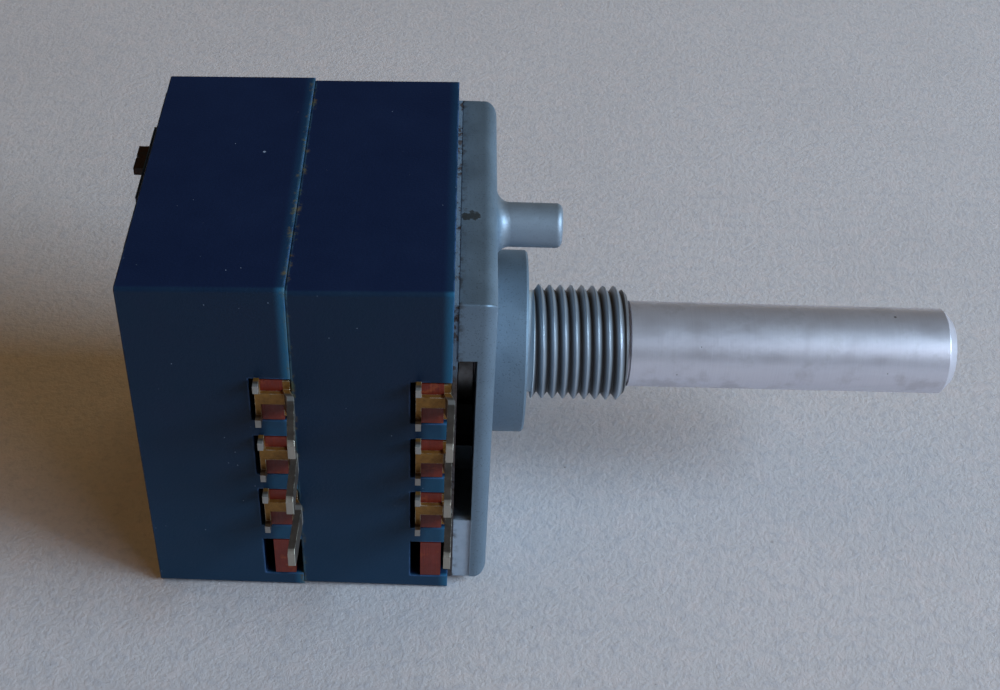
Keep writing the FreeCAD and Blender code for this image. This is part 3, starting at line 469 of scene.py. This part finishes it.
def tinned_brass():
    """Terminals: dull tin, brown lacquer on the strap over the board, bright ears, cut tip and edges."""
    g = Graph("tinned_brass")
    board_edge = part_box("front_board")[0].y
    leg_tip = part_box("front_terminal_middle")[0].y
    cloud = g.noise(0.6 * MM, detail=5.0, roughness=0.65)
    grain = g.noise(0.1 * MM, detail=3.0)

    colour = g.mix(cloud, srgb(80, 72, 64), srgb(120, 108, 98))
    tip = g.between(g.y, leg_tip + 0.4 * MM, leg_tip + 0.05 * MM)
    colour = g.mix(g.times(tip, 0.55), colour, srgb(206, 198, 184))
    ears = g.times(g.between(g.y, board_edge - 0.5 * MM, board_edge - 0.7 * MM),
                   g.between(g.y, board_edge - 1.1 * MM, board_edge - 0.95 * MM))
    colour = g.mix(g.times(ears, 0.75), colour, srgb(186, 182, 176))
    strap = g.between(g.y, board_edge - 0.45 * MM, board_edge - 0.3 * MM)
    lacquer = g.mix(g.noise(0.35 * MM, detail=4.0, roughness=0.7), srgb(84, 52, 18), srgb(184, 132, 60))
    colour = g.mix(g.times(strap, 0.92), colour, lacquer)
    scraped = g.times(g.edges(0.07 * MM), g.between(cloud, 0.4, 0.6))
    colour = g.mix(scraped, colour, srgb(206, 202, 184))

    normal = g.bump(g.plus(cloud, g.times(grain, 0.4)), 0.02 * MM, 0.7, edge_radius=0.06 * MM)
    return g.finish(Base_Color=colour, Metallic=0.7, Roughness=g.vary(cloud, 0.34, 0.55), Normal=normal)


# ---------------------------------------------------------------- boards, sheet, track and rotors

def laminate():
    """Phenolic paper board: red-brown, layered on its cut edges, with short fibres and resin gloss."""
    g = Graph("laminate")
    layers = g.noise(per_mm=(9.0, 0.35, 0.35))
    fibres = g.noise(per_mm=(0.9, 5.2, 1.1), detail=4.0, roughness=0.7)
    cloud = g.noise(1.1 * MM, detail=4.0, roughness=0.6)
    colour = g.mix(cloud, srgb(94, 24, 13), srgb(146, 44, 20))
    colour = g.mix(g.times(layers, 0.55), colour, srgb(56, 17, 11))
    colour = g.mix(g.times(g.between(fibres, 0.55, 0.7), 0.4), colour, srgb(172, 92, 48))
    normal = g.bump(g.plus(layers, fibres), 0.03 * MM, 0.8)
    return g.finish(Base_Color=colour, Roughness=g.vary(fibres, 0.4, 0.65), Normal=normal)


def fibre_sheet():
    """Vulcanised fibre: dark brown, ragged at its cut edge, greyed by zinc dust above the rim's opening."""
    g = Graph("fibre_sheet")
    low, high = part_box("insulator_sheet")
    fuzz = g.noise(0.25 * MM, detail=5.0, roughness=0.75)
    cloud = g.noise(1.6 * MM, detail=3.0)

    colour = g.mix(cloud, srgb(58, 50, 50), srgb(80, 74, 74))
    colour = g.mix(g.between(fuzz, 0.5, 0.62), colour, srgb(44, 28, 22))
    top = g.between(g.z, high.z - 0.4 * MM, high.z - 0.1 * MM)
    side = g.times(g.between(g.y, low.y + 0.4 * MM, low.y + 0.1 * MM), g.between(g.z, 6.0 * MM, 8.0 * MM))
    patches = g.between(g.noise(1.1 * MM, detail=4.0, roughness=0.7), 0.58, 0.5)
    colour = g.mix(g.times(g.most(top, side), patches, 0.9), colour, srgb(104, 122, 138))

    normal = g.bump(fuzz, 0.05 * MM, 0.8)
    return g.finish(Base_Color=colour, Roughness=g.vary(fuzz, 0.7, 0.95), Normal=normal)


def carbon_film():
    """Printed carbon: near black, slightly granular, polished where the fingers run."""
    g = Graph("carbon_film")
    contact_radius = 8.3 * MM
    grain = g.noise(0.06 * MM)
    polished = g.between(g.apart(g.from_axis(), contact_radius), 0.5 * MM, 0.3 * MM)
    colour = g.mix(grain, srgb(24, 24, 25), srgb(46, 45, 44))
    rough = g.minus(0.7, g.times(polished, 0.3))
    return g.finish(Base_Color=colour, Roughness=rough, Normal=g.bump(grain, 0.01 * MM, 0.7))


def acetal():
    """Natural acetal: warm white, waxy, with faint flow marks."""
    g = Graph("acetal")
    flow = g.noise(per_mm=(0.3, 0.9, 0.5), detail=3.0, warp=1.2)
    grain = g.noise(0.15 * MM)
    colour = g.mix(flow, srgb(206, 200, 184), srgb(228, 224, 212))
    normal = g.bump(grain, 0.01 * MM, 0.5, edge_radius=0.1 * MM)
    return g.finish(Base_Color=colour, Roughness=g.vary(flow, 0.38, 0.5), Normal=normal,
                    Subsurface_Weight=0.15, Subsurface_Radius=(0.4 * MM, 0.35 * MM, 0.3 * MM))


def dress_all():
    dress(["front_housing", "rear_housing"], blue_moulding())
    dress(["front_plate"], die_cast_zinc())
    dress(["shaft"], turned_aluminium())
    dress(["front_board", "rear_board"], laminate())
    dress(["insulator_sheet"], fibre_sheet())
    dress(["front_track", "rear_track"], carbon_film())
    dress(["front_rotor", "rear_rotor"], acetal())
    dress([name for name in nodes if "terminal" in name], tinned_brass())
    dress(["tie_strap_top", "tie_strap_bottom", "retaining_ring"], dark_steel())
    dress(["stop_arm"], plated_steel())
    dress(["front_wiper", "rear_wiper", "thrust_washer", "front_collector", "rear_collector"], bronze())


# ---------------------------------------------------------------- stage

def paper():
    """Pale wrapping paper: cool grey, soft mottling, short fibres, a slight tooth and a few crumbs."""
    g = Graph("paper")
    cloud = g.noise(16.0 * MM, detail=4.0, roughness=0.6)
    mottle = g.noise(0.7 * MM, detail=4.0, roughness=0.7)
    tooth = g.noise(0.35 * MM, detail=4.0, roughness=0.7)
    tinge = g.noise(1.5 * MM, detail=4.0, roughness=0.7, offset=(3.0, 8.0, 5.0))
    fibres = g.noise(per_mm=(0.9, 1.5, 0.9), detail=3.0, roughness=0.7, warp=0.6)
    crumbs = g.most(g.specks(9.0 * MM, 0.3 * MM, 0.3), g.specks(3.0 * MM, 0.1 * MM, 0.3, (2.0, 4.0, 6.0)))

    colour = g.mix(cloud, srgb(183, 179, 181), srgb(197, 193, 195))
    colour = g.mix(g.times(g.between(mottle, 0.46, 0.64), 0.55), colour, srgb(172, 171, 178))
    colour = g.mix(g.times(g.between(tinge, 0.48, 0.64), 0.4), colour, srgb(200, 190, 190))
    colour = g.mix(g.times(g.between(fibres, 0.58, 0.72), 0.35), colour, srgb(200, 199, 202))
    colour = g.mix(g.times(crumbs, 0.6), colour, srgb(112, 98, 84))

    normal = g.bump(g.plus(tooth, g.times(mottle, 0.8)), 0.12 * MM, 0.5)
    return g.finish(Base_Color=colour, Roughness=0.9, Normal=normal, Specular_IOR_Level=0.2)


def floor():
    """Flat sheet of paper the part stands on, with more of it behind the part than in front."""
    width = 1.6
    front = -0.64
    back = 0.96
    level = cad_box[0].z
    corners = [(-width / 2, front, level), (width / 2, front, level), (width / 2, back, level),
               (-width / 2, back, level)]
    mesh = bpy.data.meshes.new("paper_floor")
    mesh.from_pydata(corners, [], [(0, 1, 2, 3)])
    mesh.materials.append(paper())
    sheet = bpy.data.objects.new("paper_floor", mesh)
    bpy.context.scene.collection.objects.link(sheet)


def area_light(name, azimuth, elevation, width, height, power, colour, mirrored=True):
    """A soft panel at arm's length, in degrees as seen from the part: azimuth 0 is +X and -90 is -Y.

    A panel that isn't mirrored only lights surfaces: metal shows no image of it.
    """
    distance = 0.6
    around = math.radians(azimuth)
    above = math.radians(elevation)
    level = math.cos(above)
    towards = Vector((level * math.cos(around), level * math.sin(around), math.sin(above)))
    data = bpy.data.lights.new(name, "AREA")
    data.shape = "RECTANGLE"
    data.size = width
    data.size_y = height
    data.energy = power
    data.color = colour
    lamp = bpy.data.objects.new(name, data)
    bpy.context.scene.collection.objects.link(lamp)
    lamp.location = towards * distance
    lamp.rotation_euler = (-towards).to_track_quat("-Z", "Y").to_euler()
    lamp.visible_glossy = mirrored


def lights():
    """A cool window low on the right and a dim, warm room."""
    area_light("window", -15, 32, 0.3, 0.25, 3.7, (0.56, 0.80, 1.0))
    area_light("sky", -30, 28, 0.5, 0.35, 1.65, (0.78, 0.84, 1.0))
    area_light("ceiling", 180, 65, 0.5, 0.5, 0.5, (1.0, 0.55, 0.15), mirrored=False)
    area_light("wall", 60, 12, 0.4, 0.2, 1.0, (1.0, 0.75, 0.4), mirrored=False)
    world = bpy.data.worlds.new("room")
    world.use_nodes = True
    background = world.node_tree.nodes["Background"]
    background.inputs["Color"].default_value = (1.0, 0.85, 0.7, 1.0)
    background.inputs["Strength"].default_value = 0.05
    bpy.context.scene.world = world


def camera():
    """Looks down at 42 degrees from the terminal side, almost square to the shaft, and slightly tilted."""
    place = Vector((-5.172, -80.998, 72.923)) * MM
    azimuth = math.radians(-2.463)
    elevation = math.radians(42.152)
    roll = math.radians(3.072)
    ahead = math.cos(elevation)
    forward = Vector((-math.sin(azimuth) * ahead, math.cos(azimuth) * ahead, -math.sin(elevation)))
    level = forward.cross(Vector((0, 0, 1))).normalized()
    upright = level.cross(forward)
    right = math.cos(roll) * level + math.sin(roll) * upright
    up = math.cos(roll) * upright - math.sin(roll) * level
    data = bpy.data.cameras.new("camera")
    data.sensor_width = 36.0
    data.lens = 55.86
    data.clip_start = 0.005
    eye = bpy.data.objects.new("camera", data)
    bpy.context.scene.collection.objects.link(eye)
    eye.matrix_world = Matrix.Translation(place) @ Matrix((right, up, -forward)).transposed().to_4x4()
    bpy.context.scene.camera = eye


dress_all()
floor()
lights()
camera()
bpy.context.scene.view_settings.view_transform = "Standard"
